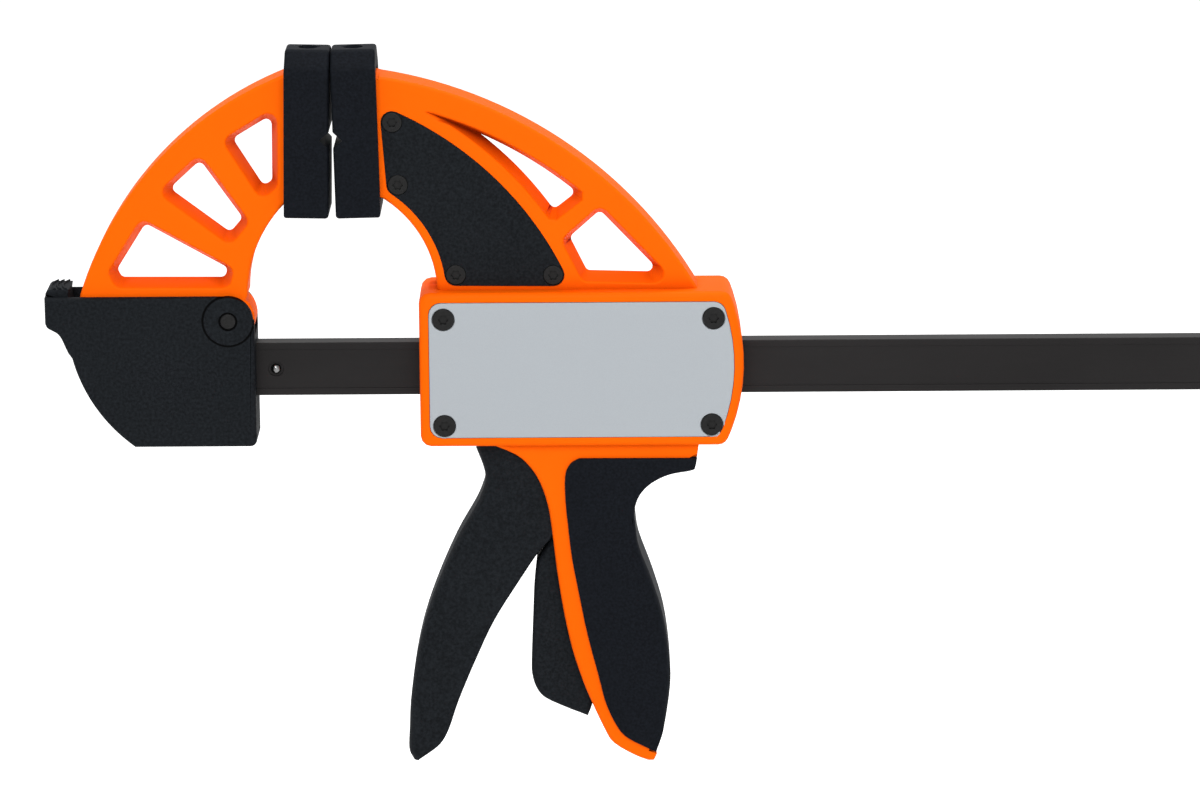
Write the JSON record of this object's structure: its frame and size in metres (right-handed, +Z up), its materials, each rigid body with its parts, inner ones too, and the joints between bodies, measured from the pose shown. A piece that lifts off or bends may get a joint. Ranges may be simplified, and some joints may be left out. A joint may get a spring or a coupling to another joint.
{
  "type": "quick release bar clamp",
  "caption": "One-handed bar clamp: flat steel bar, orange fixed arm in a black bracket, and an orange sliding jaw with side plates, pistol handle, squeeze trigger and release lever",
  "frame": {"origin": "where the two pads meet, on the middle plane, at the height of the bar's centre", "axes": "+X along the bar in the direction the jaw opens, +Z up towards the pads, +Y to the rear; the picture looks along +Y"},
  "size_m": [1.2603, 0.0384, 0.3389],
  "materials": {
    "orange_plastic": "moulded, fine satin",
    "black_plastic": "moulded, fine texture",
    "soft_grip": "soft moulded, matte",
    "pad_rubber": "soft moulded, matte",
    "bar_steel": "blackened, dull",
    "plate_steel": "satin, fine grain",
    "screw_steel": "blackened",
    "zinc_steel": "zinc plated"
  },
  "bodies": {
    "bar_body": {"bar": "bar_steel", "bar_stop_pins": "zinc_steel", "fixed_bracket": "black_plastic", "bar_lock_pin": "zinc_steel", "pivot_pin": "screw_steel", "latch_pin": "zinc_steel", "latch_spring": "zinc_steel"},
    "fixed_jaw": {"fixed_arm": "orange_plastic", "fixed_pad": "pad_rubber"},
    "latch_body": {"latch": "black_plastic"},
    "moving_jaw": {"jaw_shell_front": "orange_plastic", "jaw_shell_rear": "orange_plastic", "jaw_cover_front": "black_plastic", "jaw_cover_rear": "black_plastic", "cover_screws_front": "screw_steel", "cover_screws_rear": "screw_steel", "side_plate_front": "plate_steel", "side_plate_rear": "plate_steel", "plate_screws": "screw_steel", "plate_nuts": "screw_steel", "handle_grip": "soft_grip", "bar_guides": "zinc_steel", "moving_pad": "pad_rubber", "trigger_pin": "zinc_steel", "drive_spring": "zinc_steel", "brake_spring": "zinc_steel", "release_pin": "zinc_steel"},
    "trigger_body": {"trigger": "black_plastic"},
    "drive_body": {"drive_plates": "zinc_steel"},
    "brake_body": {"brake_plate": "zinc_steel"},
    "release_body": {"release_lever": "black_plastic"}
  },
  "joints": [
    {"name": "fixed_arm_swing", "type": "hinge", "parent": "bar_body", "child": "fixed_jaw", "pos_m": [-0.049, 0, 0.0248], "axis": [0, -1, 0], "range_deg": [0, 25]},
    {"name": "latch_press", "type": "hinge", "parent": "bar_body", "child": "latch_body", "pos_m": [-0.12652, 0, 0.029], "axis": [0, 1, 0], "range_deg": [0, 8], "stiffness_Nm_per_rad": 0.3, "springref_deg": -2.86, "deforming": ["latch_spring"]},
    {"name": "jaw_slide", "type": "slide", "parent": "bar_body", "child": "moving_jaw", "axis": [1, 0, 0], "range_m": [0, 0.9]},
    {"name": "trigger_pull", "type": "hinge", "parent": "moving_jaw", "child": "trigger_body", "pos_m": [0.0835, 0, 0.02], "axis": [0, -1, 0], "range_deg": [0, 16], "stiffness_Nm_per_rad": 1.2, "springref_deg": -11.46},
    {"name": "drive_slide", "type": "slide", "parent": "moving_jaw", "child": "drive_body", "axis": [1, 0, 0], "range_m": [0, 0.0056], "deforming": ["drive_spring"]},
    {"name": "release_pull", "type": "hinge", "parent": "moving_jaw", "child": "release_body", "pos_m": [0.1235, 0, -0.05], "axis": [0, -1, 0], "range_deg": [0, 4], "stiffness_Nm_per_rad": 1, "springref_deg": -5.73},
    {"name": "brake_tilt", "type": "hinge", "parent": "moving_jaw", "child": "brake_body", "pos_m": [0.1415, 0, 0.019], "axis": [0, 1, 0], "range_deg": [0, 3.2], "deforming": ["brake_spring"]}
  ],
  "couplings": [
    {"joint": "drive_slide", "follows": "trigger_pull", "m_per_rad": 0.02},
    {"joint": "brake_tilt", "follows": "release_pull", "ratio": 0.8}
  ]
}
